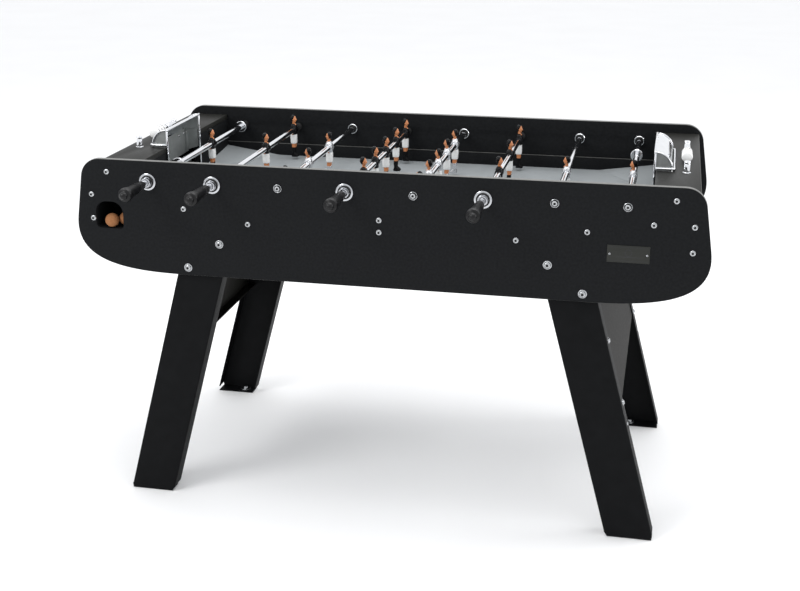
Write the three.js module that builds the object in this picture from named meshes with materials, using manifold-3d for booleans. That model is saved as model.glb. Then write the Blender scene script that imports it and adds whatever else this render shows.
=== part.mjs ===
// Table football table with telescopic rods: two rounded side panels stand on four folded
// sheet legs and carry a playfield, two goal ends and eight rods of players.
// Millimetres, +Z up. X runs along the table, the near side is -Y, and z = 0 is the floor.
import * as THREE from 'three';
import { mergeVertices } from 'three/addons/utils/BufferGeometryUtils.js';
import Module from 'manifold-3d';

// ---- driving dimensions -------------------------------------------------------------
const GAP = 0.3; // clearance between fixed neighbours
const ROUND = 12; // sides of a turned piece
const THIN = 6; // sides of a wire
const TABLE = { width: 750, height: 900 };
const PANEL = { thick: 15, bottom: 616, cornerR: 50, topHalf: 745, wideHalf: 770, wideZ: 756 };
const FACE = TABLE.width / 2; // outer face of a side panel
const INSIDE = FACE - PANEL.thick; // inner face of a side panel
const ROD = { count: 8, pitch: 165, z: 849, tubeR: 8, innerR: 5, innerReach: 300 };
const BUSH = { flangeR: 21.5, flange: 5, hubR: 14, hub: 16, ringR: 14.5, ring: 4, stopR: 11 };
const STOP = INSIDE - 14; // inner end of the rubber stops
const END_NUT = { r: 10.5, thick: 6 };
const COLLAR = { at: 250, r: 16, half: 4 };
const GRIP = { start: 395, length: 117 };
const PLAYER = { half: 13, headTop: 43, footZ: -79 };
const MEN_PITCH = { 1: 0, 2: 264, 3: 205, 5: 127 };
const FIELD = { half: 631.7, top: 762, thick: 10, rampX: 472, rampY: 125, rampTop: 785 };
const LINER = { thick: 4, z0: 740, z1: 797 };
const WALL = { x0: 632, x1: 647, z0: 690, footNotch: 150 }; // goal-end walls
const BOARD = { x0: 720, x1: 735 }; // outer end boards
const DECK = { z0: 863, z1: 876, x1: 738 };
const MOUTH = { half: 115.5, sill: 761, back: 671.5 };
const HOOD = { r: 39.5, sheet: 1.5, z: 882, x: 629.5, half: 114.5, plateX: 667.5, plateZ: 814 };
const WIRE = { r: 3, x: 628.7, half: 117, rearX: 675, lift: 3 };
const COUNTER = { x: 705, postR: 7.5, postY: 120, postTop: 905, z: 893, axleR: 6, sleeveR: 8 };
const DRUM = { r: 14, y0: -25, y1: 35, cap: 4 };
const TRAY = { low: 725, rise: 20, thick: 10 };
const RETURN_HOLE = { x0: 649, x1: 720, z0: 725, z1: 793, topR: 28, bottomR: 10 };
const LEG = {
  outer: 686.9, width: 118.1, slope: 0.2718, top: 735, sheet: 3, flange: 45, relief: 14, footCut: 5,
};
const CROSS = { z0: 350, z1: 735, half: 355, flange: 27 };
const PLATE = { x0: 536, x1: 633, z0: 718, z1: 759, thick: 1 };
const BALL_R = 17.4;

// One entry per rod from the left end: which side its grip is on (-1 near, +1 far), its
// team, its players and how far it rests from the middle of the table.
const RODS = [
  { side: -1, team: 'black', men: 1, rest: 75 },
  { side: -1, team: 'black', men: 2, rest: 180 },
  { side: 1, team: 'white', men: 3, rest: -108 },
  { side: -1, team: 'black', men: 5, rest: 70 },
  { side: 1, team: 'white', men: 5, rest: -50 },
  { side: -1, team: 'black', men: 3, rest: 99 },
  { side: 1, team: 'white', men: 2, rest: -198 },
  { side: 1, team: 'white', men: 1, rest: -75 },
];

// ---- solids -------------------------------------------------------------------------
const wasm = await Module();
wasm.setup();

function toSolid(geometry) {
  const bare = geometry.clone();
  bare.deleteAttribute('normal');
  bare.deleteAttribute('uv');
  const merged = mergeVertices(bare, 1e-3);
  return new wasm.Manifold(new wasm.Mesh({
    numProp: 3,
    vertProperties: new Float32Array(merged.attributes.position.array),
    triVerts: new Uint32Array(merged.index.array),
  }));
}

function toGeometry(solid) {
  const mesh = solid.getMesh();
  const geometry = new THREE.BufferGeometry();
  geometry.setAttribute('position', new THREE.BufferAttribute(mesh.vertProperties, 3));
  geometry.setIndex(new THREE.BufferAttribute(mesh.triVerts, 1));
  geometry.computeVertexNormals();
  return geometry;
}

const join = (first, ...rest) => rest.reduce((all, solid) => all.add(solid), first);

// A box between two X, two Y and two Z values, given in either order.
function box(xa, xb, ya, yb, za, zb) {
  const geometry = new THREE.BoxGeometry(Math.abs(xb - xa), Math.abs(yb - ya), Math.abs(zb - za));
  return toSolid(geometry.translate((xa + xb) / 2, (ya + yb) / 2, (za + zb) / 2));
}

// A cylinder along Y.
function cylinderY(r, ya, yb, x, z, sides = ROUND) {
  const geometry = new THREE.CylinderGeometry(r, r, Math.abs(yb - ya), sides);
  return toSolid(geometry.translate(x, (ya + yb) / 2, z));
}

// A cylinder along Z.
function cylinderZ(r, za, zb, x, y, sides = ROUND) {
  const geometry = new THREE.CylinderGeometry(r, r, Math.abs(zb - za), sides);
  return toSolid(geometry.rotateX(Math.PI / 2).translate(x, y, (za + zb) / 2));
}

// A cylinder along X.
function cylinderX(r, xa, xb, y, z, sides) {
  const geometry = new THREE.CylinderGeometry(r, r, Math.abs(xb - xa), sides);
  return toSolid(geometry.rotateZ(Math.PI / 2).translate((xa + xb) / 2, y, z));
}

// A body of revolution about the line x, z along Y; the profile is [radius, y] pairs.
function turned(profile, x, z, sides = ROUND) {
  const points = profile.map(([r, y]) => new THREE.Vector2(r, y));
  return toSolid(new THREE.LatheGeometry(points, sides).translate(x, 0, z));
}

// An outline in the XZ plane, extruded from ya to yb. Where a curve meets a line their
// shared end point is kept once.
function extrudeY(shape, ya, yb, curveSegments = 5) {
  const depth = Math.abs(yb - ya);
  const points = shape.getPoints(curveSegments);
  const distinct = points.filter((p, i) => p.distanceTo(points.at(i - 1)) > 0.01);
  const geometry = new THREE.ExtrudeGeometry(new THREE.Shape(distinct), { depth, bevelEnabled: false });
  return toSolid(geometry.rotateX(Math.PI / 2).translate(0, Math.max(ya, yb), 0));
}

function outline(points) {
  return new THREE.Shape(points.map(([x, z]) => new THREE.Vector2(x, z)));
}

// Circumscribed radius of a bore whose flats clear a round piece of radius r.
const boreR = (r, sides = ROUND) => (r + GAP + 0.1) / Math.cos(Math.PI / sides);

const rodX = (index) => (index - (ROD.count - 1) / 2) * ROD.pitch;
const menHalf = (men) => ((men - 1) / 2) * MEN_PITCH[men];

// How far a rod slides each way from the middle before a player or collar meets a stop.
function travel(men) {
  const reach = men === 1 ? COLLAR.at + COLLAR.half : menHalf(men) + PLAYER.half;
  return STOP - reach - 1;
}

// ---- table sides --------------------------------------------------------------------
// The panel outline: small rounds at the top corners, sides that lean outwards and long
// flowing curves into the bottom edge.
function panelShape() {
  const lean = Math.atan((PANEL.wideHalf - PANEL.topHalf) / (TABLE.height - PANEL.wideZ));
  const inset = PANEL.cornerR * Math.tan((Math.PI / 2 - lean) / 2);
  const flatHalf = 495;
  const shape = new THREE.Shape();
  shape.moveTo(-flatHalf, PANEL.bottom);
  shape.lineTo(flatHalf, PANEL.bottom);
  const down = [Math.sin(lean), Math.cos(lean)];
  const wide = [PANEL.wideHalf - 2, PANEL.wideZ];
  const pull = 125;
  shape.bezierCurveTo(flatHalf + 156, PANEL.bottom, wide[0] + pull * down[0],
    wide[1] - pull * down[1], wide[0], wide[1]);
  const corner = PANEL.topHalf;
  shape.lineTo(corner + inset * down[0], TABLE.height - inset * down[1]);
  shape.absarc(corner - inset, TABLE.height - PANEL.cornerR, PANEL.cornerR, -lean, Math.PI / 2);
  shape.lineTo(-(corner - inset), TABLE.height);
  shape.absarc(-(corner - inset), TABLE.height - PANEL.cornerR, PANEL.cornerR,
    Math.PI / 2, Math.PI + lean);
  shape.lineTo(-wide[0], wide[1]);
  shape.bezierCurveTo(-(wide[0] + pull * down[0]), wide[1] - pull * down[1],
    -(flatHalf + 156), PANEL.bottom, -flatHalf, PANEL.bottom);
  return shape;
}

function returnHoleShape() {
  const { x0, x1, z0, z1, topR, bottomR } = RETURN_HOLE;
  const shape = new THREE.Shape();
  shape.moveTo(-x1 + bottomR, z0);
  shape.lineTo(-x0 - bottomR, z0);
  shape.absarc(-x0 - bottomR, z0 + bottomR, bottomR, -Math.PI / 2, 0);
  shape.lineTo(-x0, z1 - topR);
  shape.absarc(-x0 - topR, z1 - topR, topR, 0, Math.PI / 2);
  shape.lineTo(-x1 + topR, z1);
  shape.absarc(-x1 + topR, z1 - topR, topR, Math.PI / 2, Math.PI);
  shape.lineTo(-x1, z0 + bottomR);
  shape.absarc(-x1 + bottomR, z0 + bottomR, bottomR, Math.PI, 1.5 * Math.PI);
  return shape;
}

// The near panel, with its liner strip, the flanged bushings of the rods whose grips are
// on this side, and the small bores that hold the fixed ends of the others.
function sidePanel() {
  let solid = extrudeY(panelShape(), -FACE, -INSIDE, 14);
  const liner = box(-FIELD.half, FIELD.half, -INSIDE - 1, -INSIDE + LINER.thick, LINER.z0, LINER.z1);
  solid = solid.add(liner);
  RODS.forEach((rod, index) => {
    const x = rodX(index);
    if (rod.side < 0) {
      const bush = turned([[0, -FACE - BUSH.hub], [BUSH.hubR - 3, -FACE - BUSH.hub],
        [BUSH.hubR, -FACE - BUSH.flange - 2], [BUSH.flangeR - 2, -FACE - BUSH.flange],
        [BUSH.flangeR, -FACE + 1], [BUSH.ringR, -FACE + 2],
        [BUSH.ringR, -INSIDE + BUSH.ring], [BUSH.stopR, -INSIDE + BUSH.ring],
        [BUSH.stopR, -STOP], [0, -STOP]], x, ROD.z);
      const bore = cylinderY(boreR(ROD.tubeR), -FACE - 30, -STOP + 10, x, ROD.z);
      solid = solid.add(bush).subtract(bore);
    } else {
      solid = solid.subtract(cylinderY(boreR(ROD.innerR), -FACE - 5, -INSIDE + 5, x, ROD.z));
    }
  });
  return solid.subtract(extrudeY(returnHoleShape(), -FACE - 5, -INSIDE + 5));
}

// ---- playfield and ends -------------------------------------------------------------
// The wedge that lifts one corner of the playing surface, so that no ball stops there.
function cornerRamp(sx, sy) {
  const y = INSIDE - LINER.thick - GAP;
  const x = FIELD.half + 2 * GAP + 0.1; // just into the end wall
  const base = FIELD.top + GAP;
  const points = [[FIELD.rampX, y, base], [x, FIELD.rampY, base], [x, y, base], [x, y, FIELD.rampTop]]
    .map(([px, py, z]) => new THREE.Vector3(sx * px, sy * py, z));
  const faces = [[0, 2, 1], [0, 1, 3], [1, 2, 3], [2, 0, 3]];
  const geometry = new THREE.BufferGeometry();
  geometry.setAttribute('position', new THREE.Float32BufferAttribute(
    points.flatMap((p) => p.toArray()), 3));
  // Mirroring in one axis turns the corners the other way round.
  geometry.setIndex(faces.flatMap(([a, b, c]) => (sx * sy > 0 ? [a, b, c] : [a, c, b])));
  return toSolid(geometry);
}

function playfield() {
  const y = INSIDE - LINER.thick - GAP;
  return box(-FIELD.half, FIELD.half, -y, y, FIELD.top - FIELD.thick, FIELD.top);
}

// The inner wall of a goal end with the raised corners of the playing surface. It is notched
// for the goal mouth, and along its foot so that balls lie side by side at the return hole.
function endWall(sx) {
  const y = INSIDE - GAP;
  const low = sx * y; // the side of the return hole
  const wall = box(sx * WALL.x0, sx * WALL.x1, -y, y, WALL.z0, DECK.z0 - GAP);
  const [xa, xb] = [sx * (WALL.x0 - 5), sx * (WALL.x1 + 5)];
  const mouth = box(xa, xb, -MOUTH.half, MOUTH.half, MOUTH.sill, DECK.z1 + 5);
  const foot = box(xa, xb, low + sx * 5, low - sx * WALL.footNotch, WALL.z0 - 5, FIELD.top);
  return join(wall.subtract(mouth).subtract(foot), cornerRamp(sx, 1), cornerRamp(sx, -1));
}

// The outer end board with the ball channel's floor, which falls towards its return hole.
function endBoard(sx) {
  const y = INSIDE - GAP;
  const board = box(sx * BOARD.x0, sx * BOARD.x1, -y, y, WALL.z0, DECK.z0 - GAP);
  const low = sx * y; // the left channel falls to the near side, the right one to the far side
  const section = new THREE.Shape([[low, TRAY.low], [-low, TRAY.low + TRAY.rise],
    [-low, TRAY.low + TRAY.rise - TRAY.thick], [low, TRAY.low - TRAY.thick]]
    .map(([v, z]) => new THREE.Vector2(v, z)));
  const length = BOARD.x0 + 1 - (WALL.x1 + GAP);
  const floor = new THREE.ExtrudeGeometry(section, { depth: length, bevelEnabled: false });
  // Shape axes (y, z) and depth become (Y, Z) and X.
  floor.applyMatrix4(new THREE.Matrix4().set(0, 0, 1, 0, 1, 0, 0, 0, 0, 1, 0, 0, 0, 0, 0, 1));
  const start = sx > 0 ? WALL.x1 + GAP : -(BOARD.x0 + 1);
  return board.add(toSolid(floor.translate(start, 0, 0)));
}

// The deck over a goal end, with the plain post, the far post and the counter's axle.
function deck(sx) {
  const y = INSIDE - GAP;
  const x = sx * COUNTER.x;
  const board = box(sx * WALL.x0, sx * DECK.x1, -y, y, DECK.z0, DECK.z1)
    .subtract(box(sx * (WALL.x0 - 5), sx * MOUTH.back, -MOUTH.half, MOUTH.half, DECK.z0 - 5, DECK.z1 + 5));
  return join(board,
    cylinderZ(COUNTER.postR, DECK.z1 - 1, COUNTER.postTop, x, -COUNTER.postY),
    cylinderZ(COUNTER.postR, DECK.z1 - 1, COUNTER.postTop, x, COUNTER.postY),
    cylinderY(COUNTER.axleR, DRUM.y0 + DRUM.cap + GAP, COUNTER.postY, x, COUNTER.z),
    cylinderY(COUNTER.sleeveR, DRUM.y1 + GAP, COUNTER.postY, x, COUNTER.z));
}

// The drum turns on the axle, which ends inside it behind the closed near face.
function scoreDrum(sx) {
  const bore = boreR(COUNTER.axleR);
  const { r, y0, y1, cap } = DRUM;
  return turned([[0, y0], [r - 2, y0], [r, y0 + 2], [r, y1 - 2], [r - 2, y1], [bore, y1],
    [bore, y0 + cap], [0, y0 + cap]], sx * COUNTER.x, COUNTER.z);
}

// A quarter of a ring or disc in the XZ plane around the hood's lower front corner.
function quarter(sx, rIn, rOut) {
  const shape = new THREE.Shape();
  const steps = 5;
  for (let i = 0; i <= steps; i += 1) {
    const a = (i / steps) * (Math.PI / 2);
    shape[i ? 'lineTo' : 'moveTo'](sx * (HOOD.x + rOut * Math.cos(a)), HOOD.z + rOut * Math.sin(a));
  }
  for (let i = steps; i >= 0; i -= 1) {
    const a = (i / steps) * (Math.PI / 2);
    if (rIn > 0 || i === 0) {
      shape.lineTo(sx * (HOOD.x + rIn * Math.cos(a)), HOOD.z + rIn * Math.sin(a));
    }
  }
  return shape;
}

// The goal: a quarter-round hood with cheeks, a wire frame round its edges, and the
// sheet cage that hangs into the goal mouth.
function goal(sx) {
  const rIn = HOOD.r - HOOD.sheet;
  const wireOut = HOOD.r + 2.5;
  const lipZ = HOOD.z + HOOD.r;
  const baseZ = DECK.z1 + WIRE.lift + WIRE.r;
  const xIn = WALL.x0 + 0.5;
  const pieces = [extrudeY(quarter(sx, rIn, HOOD.r), -HOOD.half, HOOD.half)];
  for (const sy of [-1, 1]) {
    const inner = sy * (HOOD.half - 2);
    const outer = sy * HOOD.half;
    pieces.push(
      extrudeY(quarter(sx, 0, HOOD.r), inner, outer),
      extrudeY(quarter(sx, rIn - 1, wireOut), outer - sy * 0.5, sy * (WIRE.half + 2.5)),
      cylinderZ(WIRE.r, FIELD.top + 1, lipZ, sx * WIRE.x, sy * WIRE.half, THIN),
      cylinderX(WIRE.r, sx * WIRE.x, sx * WIRE.rearX, sy * WIRE.half, baseZ, THIN),
      extrudeY(outline([[sx * xIn, HOOD.z + 1], [sx * (HOOD.plateX + 1.5), HOOD.z + 1],
        [sx * (HOOD.plateX + 1.5), HOOD.plateZ + 6], [sx * xIn, HOOD.plateZ + 18]]), inner, outer),
    );
  }
  pieces.push(
    cylinderY(WIRE.r + 0.5, -WIRE.half - WIRE.r, WIRE.half + WIRE.r, sx * (HOOD.x - 1), lipZ, THIN),
    cylinderY(WIRE.r, -WIRE.half - WIRE.r, WIRE.half + WIRE.r, sx * WIRE.rearX, baseZ, THIN),
    box(sx * HOOD.plateX, sx * (HOOD.plateX + 1.5), -HOOD.half, HOOD.half, HOOD.plateZ, HOOD.z + 8),
  );
  return join(...pieces);
}

// ---- legs ---------------------------------------------------------------------------
const legOuter = (z) => LEG.outer - LEG.slope * z;
const legInner = (z) => legOuter(z) - LEG.width;

// One leg: a folded channel with its web against the side panel, a flange down each
// edge, and a foot flange on the floor whose ends are cut back from the flanges.
function leg(sx, sy) {
  const yWeb = INSIDE - GAP;
  const yIn = yWeb - LEG.flange;
  const { relief, footCut, top, sheet } = LEG;
  const [footA, footB] = [sx * (legInner(0) + footCut), sx * (legOuter(0) - footCut)];
  const side = (xOf, z) => [sx * xOf(z), z];
  const web = outline([[footA, 0], [footB, 0], side(legOuter, relief),
    side(legOuter, top), side(legInner, top), side(legInner, relief)]);
  const strip = (xOf, inward) => outline([side(xOf, relief), side(xOf, top),
    [sx * (xOf(top) + inward), top], [sx * (xOf(relief) + inward), relief]]);
  return join(
    extrudeY(web, sy * yWeb, sy * (yWeb - sheet)),
    extrudeY(strip(legOuter, -sheet), sy * yWeb, sy * yIn),
    extrudeY(strip(legInner, sheet), sy * yWeb, sy * yIn),
    box(footA, footB, sy * yWeb, sy * yIn, 0, sheet),
  );
}

// The sheet that ties the two legs of one end together, with its lower edge folded in.
function crossPanel(sx) {
  const face = (z) => legOuter(z) - LEG.sheet - GAP;
  const { z0, z1, half, flange } = CROSS;
  const sheet = outline([[sx * face(z0), z0], [sx * face(z1), z1],
    [sx * (face(z1) - LEG.sheet), z1], [sx * (face(z0) - LEG.sheet), z0]]);
  return extrudeY(sheet, -half, half)
    .add(box(sx * (face(z0) - 1), sx * (face(z0) - flange), -half, half, z0, z0 + LEG.sheet));
}

// ---- rods and players ---------------------------------------------------------------
// The fixed inner rod: an end nut outside the panel, a rubber stop inside it, and a
// plain shaft that guides the sliding tube.
function innerRod(rod, x) {
  const s = -rod.side; // it is held by the panel opposite the grip
  const profile = [[0, FACE + GAP + END_NUT.thick], [END_NUT.r - 3, FACE + GAP + END_NUT.thick],
    [END_NUT.r, FACE + GAP], [ROD.innerR, FACE + GAP],
    [ROD.innerR, INSIDE - GAP], [BUSH.stopR, INSIDE - GAP], [BUSH.stopR, STOP],
    [ROD.innerR, STOP], [ROD.innerR, -ROD.innerReach], [0, -ROD.innerReach]];
  return mirroredTurn(profile, s, x);
}

// A turned profile written for the +Y side; s = -1 puts it on the -Y side. A profile
// that climbs along Y turns into a solid that faces outwards.
function mirroredTurn(profile, s, x) {
  const placed = profile.map(([r, y]) => [r, s * y]);
  const climbs = placed[0][1] < placed.at(-1)[1];
  return turned(climbs ? placed : placed.reverse(), x, ROD.z);
}

// The sliding outer tube with its moulded grip, placed with the rod's middle at y = 0.
function slidingTube(rod, x) {
  const slide = travel(rod.men);
  const s = rod.side;
  const mouth = -(STOP - slide - 0.5); // open end, on the side away from the grip
  const grip = GRIP.start + slide;
  const tip = grip + GRIP.length;
  const profile = [[0, mouth], [ROD.tubeR, mouth], [ROD.tubeR, grip], [10.5, grip],
    [14, grip + 72], [17, grip + 94], [17, grip + 100], [10, grip + 104], [8, tip - 2], [0, tip]];
  let solid = mirroredTurn(profile, s, x);
  if (rod.men === 1) {
    for (const side of [-1, 1]) {
      const a = side * COLLAR.at - COLLAR.half;
      solid = solid.add(cylinderY(COLLAR.r, a, a + 2 * COLLAR.half, x, ROD.z));
    }
  }
  const boreEnd = ROD.innerReach + slide + 3;
  return solid.subtract(cylinderY(boreR(ROD.innerR), s * (mouth - 5), s * boreEnd, x, ROD.z));
}

// One player, facing +X for face = 1, pierced at the chest by the rod.
function player(face) {
  const torso = outline([[-11, -42], [11, -42], [12.5, 2], [9, 17], [4, 24],
    [-6, 24], [-11, 15], [-12.5, -2]].map(([x, z]) => [face * x, z]));
  const legs = outline([[-8, PLAYER.footZ], [13, PLAYER.footZ], [13, -74], [6, -67], [7, -41],
    [-7, -41], [-7, -67]].map(([x, z]) => [face * x, z]));
  const head = new THREE.SphereGeometry(1, 7, 5).rotateX(Math.PI / 2);
  head.scale(9.5, 8.5, 12).translate(-face, 0, PLAYER.headTop - 12);
  return join(extrudeY(torso, -PLAYER.half, PLAYER.half), extrudeY(legs, -9.5, 9.5), toSolid(head))
    .subtract(cylinderY(boreR(ROD.tubeR), -20, 20, 0, 0));
}

// ---- assembly -----------------------------------------------------------------------
const LOOK = {
  laminate: { color: 0x212325, roughness: 0.55, metalness: 0.0 },
  deck: { color: 0x4d4c48, roughness: 0.5, metalness: 0.0 },
  field: { color: 0x91969a, roughness: 0.35, metalness: 0.0 },
  legSheet: { color: 0x1c1d1f, roughness: 0.55, metalness: 0.3 },
  chrome: { color: 0xc8cacc, roughness: 0.15, metalness: 1.0 },
  blackTeam: { color: 0x111111, roughness: 0.3, metalness: 0.0 },
  whiteTeam: { color: 0xd8d8d8, roughness: 0.3, metalness: 0.0 },
  scoreWhite: { color: 0xf0f0f0, roughness: 0.35, metalness: 0.0 },
  plate: { color: 0x555750, roughness: 0.4, metalness: 0.8 },
  cork: { color: 0x96643c, roughness: 0.9, metalness: 0.0 },
};

const table = new THREE.Group();

function addPiece(name, look, solid, parent = table) {
  const mesh = new THREE.Mesh(toGeometry(solid), new THREE.MeshStandardMaterial(LOOK[look]));
  mesh.name = name;
  parent.add(mesh);
  return mesh;
}

addPiece('side_panel_near', 'laminate', sidePanel());
addPiece('side_panel_far', 'laminate', sidePanel()).rotation.z = Math.PI;
addPiece('playfield', 'field', playfield());
addPiece('nameplate', 'plate', box(PLATE.x0, PLATE.x1, -FACE - GAP - PLATE.thick, -FACE - GAP,
  PLATE.z0, PLATE.z1));

for (const [end, sx] of [['left', -1], ['right', 1]]) {
  addPiece(`end_wall_${end}`, 'laminate', endWall(sx));
  addPiece(`end_board_${end}`, 'laminate', endBoard(sx));
  addPiece(`deck_${end}`, 'deck', deck(sx));
  addPiece(`goal_${end}`, 'chrome', goal(sx));
  addPiece(`score_drum_${end}`, 'scoreWhite', scoreDrum(sx));
  addPiece(`cross_panel_${end}`, 'legSheet', crossPanel(sx));
  addPiece(`leg_near_${end}`, 'legSheet', leg(sx, -1));
  addPiece(`leg_far_${end}`, 'legSheet', leg(sx, 1));
}

RODS.forEach((rod, index) => {
  const number = index + 1;
  const x = rodX(index);
  addPiece(`inner_rod_${number}`, 'chrome', innerRod(rod, x));
  const slider = new THREE.Group();
  slider.position.y = rod.rest;
  table.add(slider);
  addPiece(`rod_${number}`, 'chrome', slidingTube(rod, x), slider);
  const face = rod.team === 'black' ? 1 : -1;
  for (let man = 0; man < rod.men; man += 1) {
    const name = `player_${number}_${man + 1}`;
    const figure = addPiece(name, `${rod.team}Team`, player(face), slider);
    figure.position.set(x, man * MEN_PITCH[rod.men] - menHalf(rod.men), ROD.z);
  }
});

// Two balls wait at the near return hole: one in the opening, one beside it behind the panel.
const BALL_PLACES = [[-684, -362], [-655, -342]];
BALL_PLACES.forEach(([x, y], index) => {
  const floor = TRAY.low + (TRAY.rise * Math.max(0, y + INSIDE)) / (2 * INSIDE);
  const sphere = new THREE.SphereGeometry(BALL_R, 10, 7).rotateX(Math.PI / 2);
  addPiece(`ball_${index + 1}`, 'cork', toSolid(sphere)).position.set(x, y, floor + BALL_R + GAP);
});

export default table;
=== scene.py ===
"""Looks of the football table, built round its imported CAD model.

Sizes below are millimetres and become metres when a mesh is made. X runs along the table, the
near side is -Y and the floor is z = 0.
"""

import math
import random

import bmesh
import bpy
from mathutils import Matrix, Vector


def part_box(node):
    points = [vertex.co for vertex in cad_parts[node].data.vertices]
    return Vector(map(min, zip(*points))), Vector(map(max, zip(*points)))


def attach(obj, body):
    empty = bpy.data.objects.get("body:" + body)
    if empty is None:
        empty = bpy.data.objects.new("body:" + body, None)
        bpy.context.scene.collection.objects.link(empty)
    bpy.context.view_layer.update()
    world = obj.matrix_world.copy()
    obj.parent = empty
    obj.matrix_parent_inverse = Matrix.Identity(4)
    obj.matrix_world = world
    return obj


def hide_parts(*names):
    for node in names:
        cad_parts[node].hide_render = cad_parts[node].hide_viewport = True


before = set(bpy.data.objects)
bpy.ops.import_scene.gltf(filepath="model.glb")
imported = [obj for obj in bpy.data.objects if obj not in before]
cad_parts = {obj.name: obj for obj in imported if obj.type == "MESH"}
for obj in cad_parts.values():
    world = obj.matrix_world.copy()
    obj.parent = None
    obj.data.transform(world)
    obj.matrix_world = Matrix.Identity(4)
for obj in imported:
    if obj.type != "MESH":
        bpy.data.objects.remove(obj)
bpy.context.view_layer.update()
MM = 0.001

# ---- camera -------------------------------------------------------------------------------
cam_data = bpy.data.cameras.new("camera")
cam_data.sensor_width = 36.0
cam_data.lens = 56.812
cam_data.clip_end = 200.0
camera = bpy.data.objects.new("camera", cam_data)
camera.location = (0.65252, -3.18080, 1.58223)
camera.rotation_euler = (math.pi / 2 - 0.329546, 0.0, 0.211073)
bpy.context.scene.collection.objects.link(camera)
bpy.context.scene.camera = camera


# ---- sizes read from the frame --------------------------------------------------------------
def span(node, axis):
    """The lowest and highest value of a CAD node along an axis, in millimetres."""
    low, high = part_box(node)
    return low[axis] / MM, high[axis] / MM


def middle(node, axis):
    """The middle of a CAD node along an axis, in millimetres."""
    low, high = span(node, axis)
    return (low + high) / 2


MEN = [sum(n.startswith(f"player_{k}_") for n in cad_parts) for k in range(1, 9)]
ROD_X = [middle(f"inner_rod_{k}", 0) for k in range(1, 9)]
ROD_Z = middle("inner_rod_1", 2)
GRIP_SIDE = [-1, -1, 1, -1, 1, -1, 1, 1]  # -1 for a grip on the near side
INSIDE, FACE = 360.0, 375.0  # inner and outer face of a side panel, measured from y = 0
TUBE_R, INNER_R = 8.0, 5.0  # radii of a sliding tube and of its inner rod
BORE_R = TUBE_R + 0.35  # hole of a bushing
INNER_REACH = 300.0  # how far an inner rod reaches past y = 0
GRIP_LENGTH = 117.0
STOP = 346.0  # inner end of the rubber stops, measured from y = 0
ORIGIN = (0, 0, 0)
TO_NEAR, TO_FAR, UP = (0, -1, 0), (0, 1, 0), (0, 0, 1)


# ---- materials ------------------------------------------------------------------------------
def node_material(name, colour, rough, metallic=0.0, specular=0.5, coat=0.0, tint=0.12,
                  tint_scale=30.0, grain=0.0, grain_scale=900.0, rough_spread=0.08,
                  stretch=(1.0, 1.0, 1.0), anisotropic=0.0):
    """A procedural surface: colour mottled by tint, roughness that wanders by rough_spread, and
    a bump of grain millimetres at grain_scale cells a metre, stretched along an axis."""
    mat = bpy.data.materials.new(name)
    mat.use_nodes = True
    nodes, links = mat.node_tree.nodes, mat.node_tree.links
    shader = nodes["Principled BSDF"]
    shader.inputs["Metallic"].default_value = metallic
    shader.inputs["Specular IOR Level"].default_value = specular
    shader.inputs["Coat Weight"].default_value = coat
    shader.inputs["Coat Roughness"].default_value = 0.08
    shader.inputs["Anisotropic"].default_value = anisotropic
    coords = nodes.new("ShaderNodeTexCoord")
    mapping = nodes.new("ShaderNodeMapping")
    mapping.inputs["Scale"].default_value = stretch
    links.new(coords.outputs["Object"], mapping.inputs["Vector"])

    def noise(scale, detail):
        tex = nodes.new("ShaderNodeTexNoise")
        tex.inputs["Scale"].default_value = scale
        tex.inputs["Detail"].default_value = detail
        links.new(mapping.outputs["Vector"], tex.inputs["Vector"])
        return tex

    broad = noise(tint_scale, 5.0)
    ramp = nodes.new("ShaderNodeValToRGB")
    ramp.color_ramp.elements[0].position = 0.3
    ramp.color_ramp.elements[1].position = 0.7
    ramp.color_ramp.elements[0].color = (*[c * (1 - tint) for c in colour], 1)
    ramp.color_ramp.elements[1].color = (*[min(1, c * (1 + tint)) for c in colour], 1)
    links.new(broad.outputs["Fac"], ramp.inputs["Fac"])
    links.new(ramp.outputs["Color"], shader.inputs["Base Color"])
    spread = nodes.new("ShaderNodeMapRange")
    spread.inputs["To Min"].default_value = max(0.02, rough - rough_spread)
    spread.inputs["To Max"].default_value = min(1.0, rough + rough_spread)
    links.new(noise(tint_scale * 4, 3.0).outputs["Fac"], spread.inputs["Value"])
    links.new(spread.outputs["Result"], shader.inputs["Roughness"])
    if grain:
        bump = nodes.new("ShaderNodeBump")
        bump.inputs["Strength"].default_value = 1.0
        bump.inputs["Distance"].default_value = grain * MM
        links.new(noise(grain_scale, 2.0).outputs["Fac"], bump.inputs["Height"])
        links.new(bump.outputs["Normal"], shader.inputs["Normal"])
    return mat


def speckle(mat, scale, colours, share):
    """Adds irregular specks of the given colours to a material's base colour."""
    nodes, links = mat.node_tree.nodes, mat.node_tree.links
    shader = nodes["Principled BSDF"]
    base = shader.inputs["Base Color"].links[0].from_socket
    coords = nodes.new("ShaderNodeTexCoord")
    cells = nodes.new("ShaderNodeTexVoronoi")
    cells.inputs["Scale"].default_value = scale
    links.new(coords.outputs["Object"], cells.inputs["Vector"])
    ramp = nodes.new("ShaderNodeValToRGB")
    ramp.color_ramp.interpolation = "CONSTANT"
    for k, colour in enumerate(colours):
        element = ramp.color_ramp.elements[k] if k < 2 else ramp.color_ramp.elements.new(0)
        element.position = k / len(colours)
        element.color = (*colour, 1)
    grey = nodes.new("ShaderNodeRGBToBW")
    links.new(cells.outputs["Color"], grey.inputs["Color"])
    links.new(grey.outputs["Val"], ramp.inputs["Fac"])
    mix = nodes.new("ShaderNodeMix")
    mix.data_type = "RGBA"
    mix.inputs["Factor"].default_value = share
    links.new(base, mix.inputs["A"])
    links.new(ramp.outputs["Color"], mix.inputs["B"])
    links.new(mix.outputs["Result"], shader.inputs["Base Color"])
    return mat


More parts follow.
